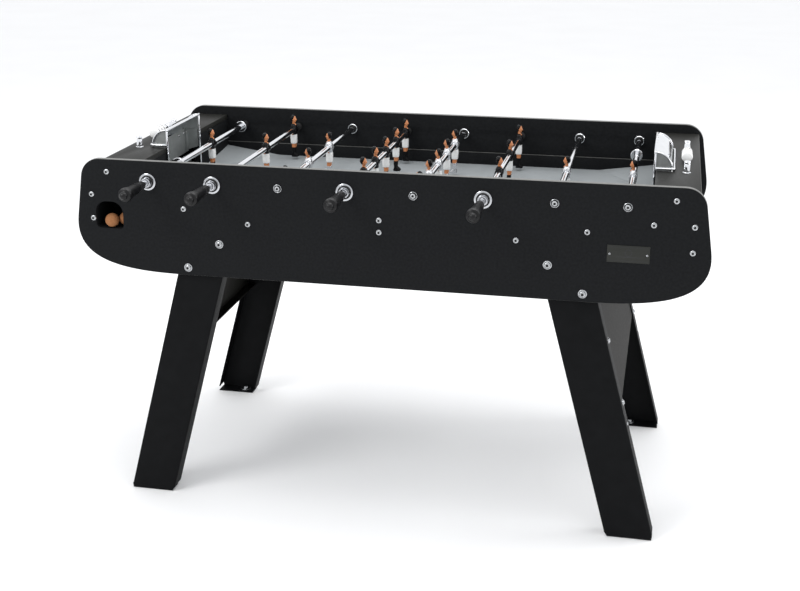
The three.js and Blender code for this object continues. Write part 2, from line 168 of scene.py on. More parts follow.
# Materials by the key that the pieces below use.
M = {
    "laminate": node_material("black_laminate", (0.0100, 0.0106, 0.0114), 0.55, specular=0.05,
                              tint=0.18, tint_scale=160, grain=0.10, grain_scale=700),
    # A lighter grey for the edges of the black boards: painted highlight, standing for light caught
    # along their rounded edges.
    "painted_edge_highlight": node_material("laminate_edge_painted_highlight", (0.115, 0.115, 0.108), 0.38, specular=0.4,
                         tint=0.15, tint_scale=60, grain=0.04, grain_scale=1500),
    "deck": node_material("deck_laminate", (0.0165, 0.0165, 0.0150), 0.45, specular=0.10,
                          tint=0.12, tint_scale=90, grain=0.05, grain_scale=900),
    "field": node_material("field_sheet", (0.275, 0.294, 0.302), 0.35, specular=0.35,
                           tint=0.05, tint_scale=14, grain=0.02, grain_scale=1200),
    "coat": node_material("powder_coat", (0.0058, 0.0061, 0.0066), 0.50, specular=0.05,
                          tint=0.12, tint_scale=40, grain=0.06, grain_scale=1600),
    "sheet": node_material("dark_sheet", (0.0100, 0.0095, 0.0083), 0.55, specular=0.04,
                           tint=0.10, tint_scale=40, grain=0.05, grain_scale=1200),
    "chrome": node_material("chrome", (0.80, 0.81, 0.83), 0.10, metallic=1.0, tint=0.03,
                            rough_spread=0.04, grain=0.004, grain_scale=2500),
    "zinc": node_material("zinc_screw", (0.42, 0.43, 0.44), 0.24, metallic=1.0, tint=0.12,
                          tint_scale=200, rough_spread=0.08, grain=0.02, grain_scale=1500),
    # Chrome darkened to mid grey for the bushings: painted shade standing for the dimmer
    # surroundings they reflect.
    "flange": node_material("bushing_chrome_painted_shade", (0.50, 0.51, 0.53), 0.16, metallic=1.0, tint=0.10,
                            tint_scale=200, rough_spread=0.05, grain=0.01, grain_scale=1500),
    "cage": node_material("cage_steel", (0.36, 0.375, 0.37), 0.42, metallic=0.75, tint=0.10,
                          tint_scale=60, rough_spread=0.06, grain=0.01, grain_scale=900),
    # Black rubber for the stops; the same dark material also paints shade into the screw sockets
    # and the end nuts' grooves.
    "rubber_and_painted_shade": node_material("rubber_and_painted_shade", (0.012, 0.012, 0.012), 0.75, specular=0.25, tint=0.2,
                            grain=0.08, grain_scale=1500),
    "grip": node_material("grip_plastic", (0.0040, 0.0040, 0.0045), 0.34, specular=0.25, coat=0.04,
                          tint=0.2, grain=0.02, grain_scale=900),
    "black": node_material("black_paint", (0.004, 0.004, 0.0045), 0.22, specular=0.12, coat=0.03,
                           tint=0.25, grain=0.03, grain_scale=700),
    "white": node_material("white_paint", (0.80, 0.80, 0.79), 0.28, specular=0.5, coat=0.2,
                           tint=0.03, grain=0.02, grain_scale=700),
    "silver": node_material("silver_paint", (0.60, 0.61, 0.63), 0.22, metallic=0.75, coat=0.2,
                            tint=0.05, grain=0.04, grain_scale=600),
    "skin": node_material("skin_paint", (0.50, 0.185, 0.068), 0.34, specular=0.5, coat=0.1,
                          tint=0.08, tint_scale=120, grain=0.02, grain_scale=700),
    "drum": node_material("drum_plastic", (0.86, 0.86, 0.85), 0.30, specular=0.5, coat=0.2,
                          tint=0.02, grain=0.01, grain_scale=900),
    "ink": node_material("printed_ink", (0.03, 0.03, 0.035), 0.5, specular=0.2, tint=0.1),
    "plate": node_material("brushed_plate", (0.023, 0.024, 0.021), 0.40, metallic=0.6,
                           tint=0.16, tint_scale=60, rough_spread=0.1, grain=0.015,
                           grain_scale=700, stretch=(0.03, 1, 1), anisotropic=0.5),
    "cork": speckle(node_material("cork", (0.22, 0.088, 0.032), 0.85, specular=0.2, tint=0.3,
                                  tint_scale=400, grain=0.35, grain_scale=500),
                    430, [(0.33, 0.15, 0.065), (0.17, 0.070, 0.028), (0.27, 0.115, 0.048),
                          (0.07, 0.030, 0.014)], 0.6),
}


# ---- shells: (points in millimetres, faces) ---------------------------------------------------
SHARP_EDGE = 0.5  # radians between faces


def lathe(profile, centre, direction, sides, hexed=0):
    """A closed surface of revolution; profile is (radius, distance along direction) pairs that
    start and end on the axis or close on themselves. The first hexed rings are hexagons."""
    d = Vector(direction).normalized()
    u = d.orthogonal().normalized()
    v = d.cross(u)
    closed = profile[0] == profile[-1]
    points, rings, faces = [], [], []
    for i, (r, t) in enumerate(profile[:-1] if closed else profile):
        base = Vector(centre) + d * t
        if r < 1e-6:
            rings.append([len(points)] * sides)
            points.append(base)
            continue
        ring = []
        for k in range(sides):
            a = math.tau * k / sides
            flat = math.cos(math.pi / 6) / math.cos(a % (math.pi / 3) - math.pi / 6)
            ring.append(len(points))
            spoke = (u * math.cos(a) + v * math.sin(a)) * r
            points.append(base + spoke * (flat if i < hexed else 1))
        rings.append(ring)
    pairs = list(zip(rings, rings[1:])) + ([(rings[-1], rings[0])] if closed else [])
    for low, high in pairs:
        for k in range(sides):
            m = (k + 1) % sides
            face = list(dict.fromkeys((low[k], low[m], high[m], high[k])))
            if len(face) > 2:
                faces.append(face)
    return points, faces


def loft(rings):
    """A closed tube through rings of equally many points, with flat ends."""
    count = len(rings[0])
    points = [Vector(p) for ring in rings for p in ring]
    faces = [list(range(count)), [len(points) - 1 - k for k in range(count)]]
    for i in range(len(rings) - 1):
        for k in range(count):
            m = (k + 1) % count
            faces.append([i * count + k, i * count + m, (i + 1) * count + m, (i + 1) * count + k])
    return points, faces


def prism(outline, axis, a, b):
    """An outline extruded along an axis; its two coordinates are the other axes in order."""
    def place(p, t):
        q = list(p)
        q.insert("XYZ".index(axis), t)
        return q
    return loft([[place(p, a) for p in outline], [place(p, b) for p in outline]])


def block(xa, xb, ya, yb, za, zb):
    """A box between two values along each axis."""
    return prism([(xa, ya), (xb, ya), (xb, yb), (xa, yb)], "Z", za, zb)


def bevelled(shell, width, segments=2):
    """The shell with every edge sharper than SHARP_EDGE rounded."""
    bm = bmesh.new()
    verts = [bm.verts.new(p) for p in shell[0]]
    for face in shell[1]:
        bm.faces.new([verts[i] for i in face])
    bmesh.ops.recalc_face_normals(bm, faces=bm.faces)
    edges = [e for e in bm.edges if e.calc_face_angle(0) > SHARP_EDGE]
    bmesh.ops.bevel(bm, geom=edges, offset=width, segments=segments, profile=0.5,
                    affect="EDGES", clamp_overlap=True)
    bm.verts.index_update()
    result = [v.co.copy() for v in bm.verts], [[v.index for v in f.verts] for f in bm.faces]
    bm.free()
    return result


def fillet(path, radius):
    """The path with its inner corners rounded."""
    steps = 5
    points = [Vector(p) for p in path]
    result = [points[0]]
    for before, corner, after in zip(points, points[1:], points[2:]):
        a = corner + (before - corner).normalized() * radius
        b = corner + (after - corner).normalized() * radius
        for k in range(steps + 1):
            t = k / steps
            result.append(a * (1 - t) ** 2 + corner * 2 * t * (1 - t) + b * t ** 2)
    return result + [points[-1]]


def wire(path, radius):
    """A round bar along a path, with domed ends."""
    sides = 12
    points = [Vector(p) for p in path]
    tangents = [(points[min(i + 1, len(points) - 1)] - points[max(i - 1, 0)]).normalized()
                for i in range(len(points))]
    u = tangents[0].orthogonal().normalized()
    rings = []

    def ring(at, tangent, r):
        side = tangent.cross(u)
        turns = [math.tau * k / sides for k in range(sides)]
        return [at + (u * math.cos(a) + side * math.sin(a)) * r for a in turns]

    dome = [(0.3, 0.95), (0.7, 0.7), (0.93, 0.35)]
    for share, out in dome:
        start = points[0] - tangents[0] * radius * 0.6 * out
        rings.append(ring(start, tangents[0], radius * share))
    for at, tangent in zip(points, tangents):
        u = (u - tangent * u.dot(tangent)).normalized()
        rings.append(ring(at, tangent, radius))
    for share, out in reversed(dome):
        end = points[-1] + tangents[-1] * radius * 0.6 * out
        rings.append(ring(end, tangents[-1], radius * share))
    return loft(rings)


def section(z, rx, ry, cx, cy=0.0, power=2.4, count=28):
    """A level superellipse."""
    ring = []
    for k in range(count):
        a = math.tau * k / count
        c, s = math.cos(a), math.sin(a)
        ring.append((cx + rx * math.copysign(abs(c) ** (2 / power), c),
                     cy + ry * math.copysign(abs(s) ** (2 / power), s), z))
    return ring


def flipped(shell, sx, sy):
    """The shell with its X and Y multiplied by the signs sx and sy."""
    return [Vector((sx * p[0], sy * p[1], p[2])) for p in shell[0]], shell[1]


def turn_mesh(mesh):
    """Turns a finished mesh half a turn about the Z axis."""
    for vert in mesh.vertices:
        vert.co = (-vert.co.x, -vert.co.y, vert.co.z)
    mesh.update()


def make_mesh(name, parts, angle=0.6):
    """One mesh from (shell, material key) pairs."""
    bm = bmesh.new()
    keys = list(dict.fromkeys(key for _, key in parts))
    for (points, faces), key in parts:
        verts = [bm.verts.new(Vector(p) * MM) for p in points]
        for face in faces:
            bm.faces.new([verts[i] for i in face]).material_index = keys.index(key)
    bmesh.ops.recalc_face_normals(bm, faces=bm.faces)
    mesh = bpy.data.meshes.new(name)
    bm.to_mesh(mesh)
    bm.free()
    for key in keys:
        mesh.materials.append(M[key])
    mesh.shade_smooth()
    mesh.set_sharp_from_angle(angle=angle)
    return mesh


def piece(name, parts, body="table", replaces=(), angle=0.6, at=None):
    """A visible piece that rides on a body; parts may also be a finished mesh."""
    mesh = parts if isinstance(parts, bpy.types.Mesh) else make_mesh(name, parts, angle)
    obj = bpy.data.objects.new(name, mesh)
    bpy.context.scene.collection.objects.link(obj)
    if at is not None:
        obj.location = Vector(at) * MM
    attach(obj, body)
    if replaces:
        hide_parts(*replaces)


def keep(node, key):
    """Gives a CAD node that stays its procedural material."""
    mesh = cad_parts[node].data
    mesh.materials.clear()
    mesh.materials.append(M[key])


# ---- side panels ------------------------------------------------------------------------------
PANEL_THICK = FACE - INSIDE
PANEL_Z0, PANEL_Z1 = 616.0, 900.0
EDGE_R = 1.4
HOLE_BOX = (-720.0, -649.0, 725.0, 793.0)  # the ball-return hole: low and high X, low and high Z


def panel_outline():
    """The panel's outline: leaning sides, small top corners, long curves into the bottom."""
    wide, wide_z, top, corner, flat = 768.0, 756.0, 745.0, 50.0, 495.0
    low_handle, high_handle = 156, 125
    lean = math.atan((wide + 2 - top) / (PANEL_Z1 - wide_z))
    inset = corner * math.tan((math.pi / 2 - lean) / 2)
    half = []
    p = [(flat, PANEL_Z0), (flat + low_handle, PANEL_Z0),
         (wide + high_handle * math.sin(lean), wide_z - high_handle * math.cos(lean)),
         (wide, wide_z)]
    for k in range(33):
        t = k / 32
        w = ((1 - t) ** 3, 3 * t * (1 - t) ** 2, 3 * t * t * (1 - t), t ** 3)
        half.append(tuple(sum(w[i] * p[i][c] for i in range(4)) for c in (0, 1)))
    for k in range(17):
        a = lean + (math.pi / 2 - lean) * k / 16
        half.append((top - inset + corner * math.cos(a), PANEL_Z1 - corner + corner * math.sin(a)))
    limit = span("side_panel_near", 0)[1] - 0.02
    half = [(min(x, limit), z) for x, z in half]
    return half + [(-x, z) for x, z in reversed(half)]


def return_hole():
    """The ball-return hole at the panel's left end as seen from outside."""
    x0, x1, z0, z1 = HOLE_BOX
    low_r, high_r = 10, 28
    points = []
    for cx, cz, r, start in ((x1 - low_r, z0 + low_r, low_r, -90),
                             (x1 - high_r, z1 - high_r, high_r, 0),
                             (x0 + high_r, z1 - high_r, high_r, 90),
                             (x0 + low_r, z0 + low_r, low_r, 180)):
        for k in range(9):
            a = math.radians(start + 90 * k / 8)
            points.append((cx + r * math.cos(a), cz + r * math.sin(a)))
    return points


def circle(x, z, r):
    """A round hole's outline in a panel."""
    count = 32
    return [(x + r * math.cos(math.tau * k / count), z + r * math.sin(math.tau * k / count))
            for k in range(count)]


def panel_mesh(name):
    """A flat board with holes and softly rounded edges, made from filled closed curves."""
    curve = bpy.data.curves.new(name + "_outline", "CURVE")
    curve.dimensions = "2D"
    curve.fill_mode = "BOTH"
    curve.extrude = (PANEL_THICK / 2 - EDGE_R) * MM
    curve.bevel_depth = EDGE_R * MM
    curve.bevel_resolution = 3
    curve.offset = -EDGE_R * MM
    holes = [circle(x, ROD_Z, 9 if side < 0 else 6) for x, side in zip(ROD_X, GRIP_SIDE)]
    for points in [panel_outline(), return_hole(), *holes]:
        spline = curve.splines.new("POLY")
        spline.points.add(len(points) - 1)
        spline.use_cyclic_u = True
        for target, (x, z) in zip(spline.points, points):
            target.co = (x * MM, z * MM, 0, 1)
    holder = bpy.data.objects.new(name + "_outline", curve)
    bpy.context.scene.collection.objects.link(holder)
    bpy.context.view_layer.update()
    depsgraph = bpy.context.evaluated_depsgraph_get()
    mesh = bpy.data.meshes.new_from_object(holder.evaluated_get(depsgraph))
    bpy.data.objects.remove(holder)
    bpy.data.curves.remove(curve)
    bm = bmesh.new()
    bm.from_mesh(mesh)
    bmesh.ops.remove_doubles(bm, verts=bm.verts, dist=1e-6)
    bmesh.ops.dissolve_degenerate(bm, edges=bm.edges, dist=1e-7)
    for vert in bm.verts:
        x, z, depth = vert.co
        vert.co = (x, -(FACE - PANEL_THICK / 2) * MM - depth, z)
    bmesh.ops.recalc_face_normals(bm, faces=bm.faces)
    bm.to_mesh(mesh)
    bm.free()
    mesh.name = name
    mesh.materials.clear()
    mesh.materials.append(M["laminate"])
    mesh.materials.append(M["painted_edge_highlight"])
    x0, x1, z0, z1 = (v * MM for v in HOLE_BOX)
    edge = EDGE_R * MM
    # Edge faces get the lighter edge material, a painted highlight; faces inside the return hole
    # stay plain laminate.
    for polygon in mesh.polygons:
        x, _, z = polygon.center
        in_hole = x0 - edge < x < x1 + edge and z0 - edge < z < z1 + edge
        polygon.material_index = 0 if in_hole or abs(polygon.normal.y) > 0.8 else 1
    mesh.shade_smooth()
    mesh.set_sharp_from_angle(angle=0.35)
    return mesh


def button_head(x, y, z, r, direction, h):
    """A domed screw head with a hexagon socket; it stands on the point x, y, z."""
    dome = [(r * math.cos(a), h * (0.15 + 0.85 * math.sin(a)))
            for a in (math.radians(v) for v in (62, 48, 34, 20, 6))]
    return lathe([(0, h * 0.35), (r * 0.40, h * 0.35), (r * 0.44, h * 0.92), (r * 0.50, h * 0.97),
                  *dome, (r, 0), (0, 0)], (x, y, z), direction, 36, hexed=3)


def screw(x, y, z, r, direction=TO_NEAR, height=None):
    """A button head, with a dark plug at the bottom of its socket as painted shade."""
    h = height or r * 0.55
    socket = lathe([(0, h * 0.36), (r * 0.39, h * 0.36), (r * 0.39, h * 0.52), (0, h * 0.52)],
                   (x, y, z), direction, 36, hexed=4)
    return [(button_head(x, y, z, r, direction, h), "zinc"), (socket, "rubber_and_painted_shade")]


def washer_bolt(x, y, z, r, direction=TO_NEAR):
    """A larger domed head on its washer."""
    washer = lathe([(0, 0), (r, 0), (r, 0.9), (r - 0.6, 1.4), (0, 1.4)], (x, y, z), direction, 40)
    d = Vector(direction).normalized()
    return [(washer, "zinc"), *screw(*(Vector((x, y, z)) + d * 1.4), r * 0.78, direction, r * 0.5)]


PANEL_SCREWS = [(-684, 868.7), (684, 868.7), (-728, 810), (728, 810), (-727.5, 749.6),
                (727.5, 749.6), (-489, 785), (489, 785), (-326, 755.5), (326, 755.5),
                (0, 784.5), (0, 755), (637.7, 810), (-637.7, 810)]
LEG_BOLTS = [(-485, 635.5), (485, 635.5), (-401, 700.5), (401, 700.5)]
LINER_HALF, LINER_Z0, LINER_EDGE_Z, LINER_Z1 = 631.5, 740, 796.2, 797


def bushing(x):
    """The flanged bushing on the outside of the near panel, round the sliding tube."""
    bore = BORE_R
    outer = [(bore, FACE - 2), (bore, FACE + 15.2), (bore + 0.6, FACE + 16), (10.6, FACE + 16),
             (11.8, FACE + 15), (12.6, FACE + 12), (13.2, FACE + 7), (14.2, FACE + 5.4),
             (15.6, FACE + 4.3), (16.6, FACE + 4.6), (19.6, FACE + 4.4), (21, FACE + 3.4),
             (21.5, FACE + 2), (21.5, FACE), (bore + 0.5, FACE - 2), (bore, FACE - 2)]
    return lathe(outer, (x, 0, ROD_Z), TO_NEAR, 56)


def groove_ring(x):
    """A dark ring in the groove between a bushing's flange and its hub."""
    profile = [(12.9, FACE + 4.2), (16.4, FACE + 4.2), (16.4, FACE + 5.2), (14.6, FACE + 5.9),
               (13.4, FACE + 7.6), (12.9, FACE + 7.6), (12.9, FACE + 4.2)]
    return lathe(profile, (x, 0, ROD_Z), TO_NEAR, 48)


def inner_ring(x):
    """The bushing's ring on the inside of the panel."""
    profile = [(11.3, INSIDE), (14.3, INSIDE), (14.5, INSIDE - 1), (14.3, INSIDE - 3),
               (13.4, INSIDE - 4), (12, INSIDE - 4), (11.3, INSIDE - 3), (11.3, INSIDE)]
    return lathe(profile, (x, 0, ROD_Z), TO_NEAR, 48)


def stop_ring(x, bore, flip):
    """The ribbed rubber stop inside a wall: the near one for flip 1, the far one for -1."""
    profile = [(bore, INSIDE - 0.2), (11, INSIDE - 0.2), (11, INSIDE - 4.6), (10.2, INSIDE - 5.2),
               (10.2, INSIDE - 6.4), (11, INSIDE - 7), (11, INSIDE - 9.4), (10.2, INSIDE - 10),
               (10.4, STOP + 0.8), (9.8, STOP), (bore + 0.3, STOP), (bore, STOP + 0.4),
               (bore, INSIDE - 0.2)]
    return lathe(profile, (x, 0, ROD_Z), (0, -flip, 0), 40)


for side, sign in (("near", -1), ("far", 1)):
    def placed(parts):
        """The (shell, key) parts, drawn for the near panel, on this side's panel."""
        return [(flipped(shell, -sign, -sign), key) for shell, key in parts]

    mesh = panel_mesh(f"panel_{side}")
    if sign > 0:
        turn_mesh(mesh)
    piece(f"panel_{side}", mesh, replaces=[f"side_panel_{side}"])
    liner = bevelled(block(-LINER_HALF, LINER_HALF, -INSIDE, -INSIDE + 4, LINER_Z0, LINER_EDGE_Z),
                     0.5)
    # The liner's top band is the lighter edge material: a painted highlight along its top edge.
    liner_highlight_band = block(-LINER_HALF, LINER_HALF, -INSIDE, -INSIDE + 3.8, LINER_EDGE_Z, LINER_Z1)
    piece(f"liner_{side}", placed([(liner, "laminate"), (liner_highlight_band, "painted_edge_highlight")]))
    for number, (x, grip_side) in enumerate(zip(ROD_X, GRIP_SIDE), 1):
        if grip_side != sign:
            continue
        local = x if sign < 0 else -x
        piece(f"bushing_{number}",
              placed([(bushing(local), "flange"), (groove_ring(local), "rubber_and_painted_shade"),
                      (inner_ring(local), "chrome")]))
        piece(f"panel_stop_{number}", placed([(stop_ring(local, TUBE_R + 0.4, 1), "rubber_and_painted_shade")]))
    screws = [part for x, z in PANEL_SCREWS for part in screw(x, -FACE, z, 7.2)]
    piece(f"panel_screws_{side}", placed(screws))
    bolts = [part for x, z in LEG_BOLTS for part in washer_bolt(x, -FACE, z, 10.5)]
    piece(f"leg_bolts_{side}", placed(bolts))

# ---- playfield, walls, nameplate ---------------------------------------------------------------
keep("playfield", "field")
# A raised corner runs from RAMP_X and RAMP_Y to the corner of the field, where it is highest.
RAMP_X, RAMP_Y, RAMP_TOP, FIELD_TOP, RAMP_EDGE, RAMP_END = 472.0, 125.0, 785.0, 762.3, 355.7, 631.9
WALL_X0, WALL_X1, WALL_HALF, WALL_Z0, WALL_Z1 = 632.1, 646.9, 359.6, 690, 862.6
WALL_MOUTH, MOUTH_Z, NOTCH_Y, NOTCH_Z = 115.6, 761, -209.8, 762
for end, sx in (("left", -1), ("right", 1)):
    keep(f"end_board_{end}", "laminate")
    keep(f"cross_panel_{end}", "sheet")
    # The wall's outline along Y: its mouth, and the notch on the side of the return hole.
    outline = [(-WALL_HALF, WALL_Z1), (-WALL_HALF, NOTCH_Z), (NOTCH_Y, NOTCH_Z),
               (NOTCH_Y, WALL_Z0), (WALL_HALF, WALL_Z0), (WALL_HALF, WALL_Z1),
               (WALL_MOUTH, WALL_Z1), (WALL_MOUTH, MOUTH_Z), (-WALL_MOUTH, MOUTH_Z),
               (-WALL_MOUTH, WALL_Z1)]
    wall = prism([(y * -sx, z) for y, z in outline], "X", sx * WALL_X0, sx * WALL_X1)
    ramps = []
    for sy in (-1, 1):
        corners = [Vector((sx * x, sy * y, z)) for x, y, z in (
            (RAMP_X, RAMP_EDGE, FIELD_TOP), (RAMP_END, RAMP_Y, FIELD_TOP),
            (RAMP_END, RAMP_EDGE, FIELD_TOP), (RAMP_END, RAMP_EDGE, RAMP_TOP))]
        ramps.append((corners, [[0, 2, 1], [0, 1, 3], [1, 2, 3], [2, 0, 3]]))
    piece(f"inner_wall_{end}", [(wall, "laminate")], replaces=[f"end_wall_{end}"])
    piece(f"field_corners_{end}", [(ramp, "field") for ramp in ramps])

px0, px1 = span("nameplate", 0)
pz0, pz1 = span("nameplate", 2)
PLATE_FRONT = 1.3  # how far the plate stands out from the panel
plate = bevelled(block(px0, px1, -FACE - PLATE_FRONT, -FACE - 0.3, pz0, pz1), 0.35)
# Generic marks in place of lettering: two border lines, an underline and a ring.
line, inset = 0.5, 4
mark_boxes = [(px0 + inset, px1 - inset, pz0 + inset, pz0 + inset + line),
              (px0 + inset, px1 - inset, pz1 - inset - line, pz1 - inset),
              (px0 + 22, px1 - 22, pz0 + 13, pz0 + 13.8)]
marks = [block(a, b, -FACE - 1.34, -FACE - 1.2, c, d) for a, b, c, d in mark_boxes]
marks.append(lathe([(7, 0), (8, 0), (8, 0.06), (7, 0.06), (7, 0)],
                   ((px0 + px1) / 2, -FACE - 1.28, (pz0 + pz1) / 2 + 3), TO_NEAR, 40))
plate_screws = [part for x in (px0 + 6, px1 - 6)
                for part in screw(x, -FACE - PLATE_FRONT, (pz0 + pz1) / 2 - 1, 2.6)]
piece("plate", [(plate, "plate")] + [(mark, "ink") for mark in marks] + plate_screws,
      replaces=["nameplate"])

# ---- decks, counters, goals --------------------------------------------------------------------
DECK_Z0, DECK_Z1 = 863.0, 876.0
MOUTH_HALF, MOUTH_BACK = 115.5, 671.5
COUNTER_X, COUNTER_Z, POST_Y = 705.0, 893.0, 120.0
HOOD_X, HOOD_Z, HOOD_R, HOOD_HALF, SHEET = 629.5, 882.0, 39.5, 114.5, 1.5
WIRE_R, WIRE_X, WIRE_HALF, WIRE_REAR, WIRE_LIFT = 3.0, 628.7, 117.0, 675.0, 3.0
CAGE_X, CAGE_Z, CAGE_FRONT = 667.5, 814.0, 632.6
DRUM_R = 13.6

# Seven-segment strokes, each from and to a corner (u, v), and the strokes of the ten digits.
STROKES = {"a": ((0, 2), (1, 2)), "b": ((1, 2), (1, 1)), "c": ((1, 1), (1, 0)),
           "d": ((0, 0), (1, 0)), "e": ((0, 0), (0, 1)), "f": ((0, 1), (0, 2)),
           "g": ((0, 1), (1, 1))}
DIGITS = ["abcdef", "bc", "abged", "abgcd", "fgbc", "afgcd", "afgedc", "abc", "abcdefg", "abcdfg"]


def digit_shells(value, y, angle, x, z, radius):
    """A printed digit, as thin strokes on a drum of that radius, read from outside."""
    height, width, stroke, thick = 5.8, 4.6, 0.55, 0.12
    shells = []
    for name in DIGITS[value]:
        (ua, va), (ub, vb) = STROKES[name]
        u0, u1 = min(ua, ub) * width - stroke, max(ua, ub) * width + stroke
        v0, v1 = min(va, vb) * height / 2 - stroke, max(va, vb) * height / 2 + stroke
        rings = []
        for v in (v0, (v0 + v1) / 2, v1):
            a = angle + (v - height / 2) / radius
            ring = []
            for u, r in ((u0, radius - 0.05), (u1, radius - 0.05), (u1, radius + thick),
                         (u0, radius + thick)):
                ring.append((x + r * math.cos(a), y + u - width / 2, z + r * math.sin(a)))
            rings.append(ring)
        shells.append(loft(rings))
    return shells


def hood_arc(r, start=0.0, stop=90.0, steps=20):
    """Points of an arc about the hood's axis, in the plane of X and Z."""
    return [(HOOD_X + r * math.cos(math.radians(start + (stop - start) * k / steps)),
             HOOD_Z + r * math.sin(math.radians(start + (stop - start) * k / steps)))
            for k in range(steps + 1)]


for end, sx in (("left", -1), ("right", 1)):
    def mirrored(shells, key):
        """The shells, drawn for the right end, on this end and in one material."""
        return [(flipped(shell, sx, 1), key) for shell in shells]

    outline = [(632, -359.7), (738, -359.7), (738, 359.7), (632, 359.7), (632, MOUTH_HALF),
               (MOUTH_BACK, MOUTH_HALF), (MOUTH_BACK, -MOUTH_HALF), (632, -MOUTH_HALF)]
    board = bevelled(prism(outline, "Z", DECK_Z0, DECK_Z1), 0.9)
    # A thin lighter strip on the deck's outer edge: a painted highlight.
    deck_edge_highlight = bevelled(block(738.0, 738.6, -359.0, 359.0, DECK_Z0 + 0.6, DECK_Z1 - 0.2), 0.2, 1)
    near_post = lathe([(0, DECK_Z1 - 1), (10, DECK_Z1 - 1), (10, DECK_Z1 + 1), (9.2, DECK_Z1 + 1.6),
                       (7.5, DECK_Z1 + 1.8), (7.5, 897), (7.1, 898), (7.5, 899), (7.5, 903.2),
                       (6.6, 904.6), (5.2, 905), (0, 905)], (COUNTER_X, -POST_Y, 0), UP, 40)
    far_post = [Vector((p[0], p[1] + 2 * POST_Y, p[2])) for p in near_post[0]], near_post[1]
    axle = lathe([(0, -19.5), (5, -19.5), (5, 36), (8, 36), (8, 60), (7.4, 61), (7.4, 62),
                  (8, 63), (8, POST_Y), (0, POST_Y)], (COUNTER_X, 0, COUNTER_Z), TO_FAR, 40)
    piece(f"deck_board_{end}", mirrored([board], "deck") + mirrored([deck_edge_highlight], "painted_edge_highlight"),
          replaces=[f"deck_{end}"])
    piece(f"counter_posts_{end}", mirrored([near_post, far_post, axle], "chrome"))

    drum = lathe([(0, -24.6), (11.6, -24.6), (12.2, -24.2), (13.2, -22.8), (DRUM_R, -22),
                  (DRUM_R, 32), (13.2, 32.8), (12.2, 34.2), (11.6, 34.6), (6.4, 34.6),
                  (6.4, -20.6), (0, -20.6)],
                 (COUNTER_X, 0, COUNTER_Z), TO_FAR, 60)
    parts = mirrored([drum], "drum")
    for column in (-12, 5, 22):
        for value in range(10):
            angle = math.radians(100 + 36 * value)
            parts += [(shell, "ink") for shell in digit_shells(value, column, angle,
                                                               sx * COUNTER_X, COUNTER_Z, DRUM_R)]
    piece(f"drum_{end}", parts, body=f"score_drum_{end}",
          replaces=[f"score_drum_{end}"])

    hood = prism(hood_arc(HOOD_R) + hood_arc(HOOD_R - SHEET)[::-1], "Y", -HOOD_HALF, HOOD_HALF)
    cage = [block(CAGE_X, CAGE_X + SHEET, -HOOD_HALF, HOOD_HALF, CAGE_Z, HOOD_Z + 8)]
    cheeks, wires, fixings = [], [], []
    lip_z = HOOD_Z + HOOD_R
    base_z = DECK_Z1 + WIRE_LIFT + WIRE_R
    for sy in (-1, 1):
        inner, outer = sy * (HOOD_HALF - 2), sy * HOOD_HALF
        cheeks.append(prism([(HOOD_X, HOOD_Z - 1), *hood_arc(HOOD_R - SHEET)], "Y", inner, outer))
        cage.append(prism([(CAGE_FRONT, HOOD_Z - 1), (CAGE_X + SHEET, HOOD_Z - 1),
                           (CAGE_X + SHEET, CAGE_Z + 6), (CAGE_FRONT, CAGE_Z + 18)],
                          "Y", inner, outer))
        cage.append(bevelled(block(CAGE_X - 7, CAGE_X, inner - sy * 10, inner, CAGE_Z + 4,
                                   HOOD_Z - 4), 0.5))
        y = sy * WIRE_HALF
        rim_arc = [(x, y, z) for x, z in hood_arc(HOOD_R + 0.2, 8, 84, 14)]
        wires.append(wire(rim_arc, 2.2))
        wires.append(wire(fillet([(WIRE_X, y, 763.5), (WIRE_X, y, lip_z - 2)], 1), WIRE_R))
        fixings += [part for q in (98, 60) for part in screw(CAGE_X, sy * q, 870, 3.6, (-1, 0, 0))]
    wires.append(wire(fillet([(WIRE_X - 0.4, -WIRE_HALF - 1, lip_z),
                              (WIRE_X - 0.4, WIRE_HALF + 1, lip_z)], 1), WIRE_R + 0.4))
    wires.append(wire(fillet([(WIRE_X, -WIRE_HALF, base_z), (WIRE_REAR, -WIRE_HALF, base_z),
                              (WIRE_REAR, WIRE_HALF, base_z), (WIRE_X, WIRE_HALF, base_z)], 7),
                      WIRE_R))
    piece(f"goal_hood_{end}", mirrored([hood], "chrome"), angle=0.9)
    piece(f"goal_cage_{end}", mirrored(cheeks + cage, "cage")
          + [(flipped(shell, sx, 1), key) for shell, key in fixings],
          replaces=[f"goal_{end}"])
    piece(f"goal_wires_{end}", mirrored(wires, "chrome"), angle=1.0)

# ---- legs ---------------------------------------------------------------------------------------
# LEG_OUT is the outer edge at the floor; SLOPE is how far a leg leans inwards for its height.
LEG_OUT, LEG_W, SLOPE, LEG_TOP, FLANGE, LEG_T = 686.9, 118.1, 0.2718, 735.0, 45.0, 3.0
# The foot flange starts below RELIEF, and is FOOT_CUT narrower than the leg at each edge.
RELIEF, FOOT_CUT = 14.0, 5.0
WEB_Y = INSIDE - 0.3


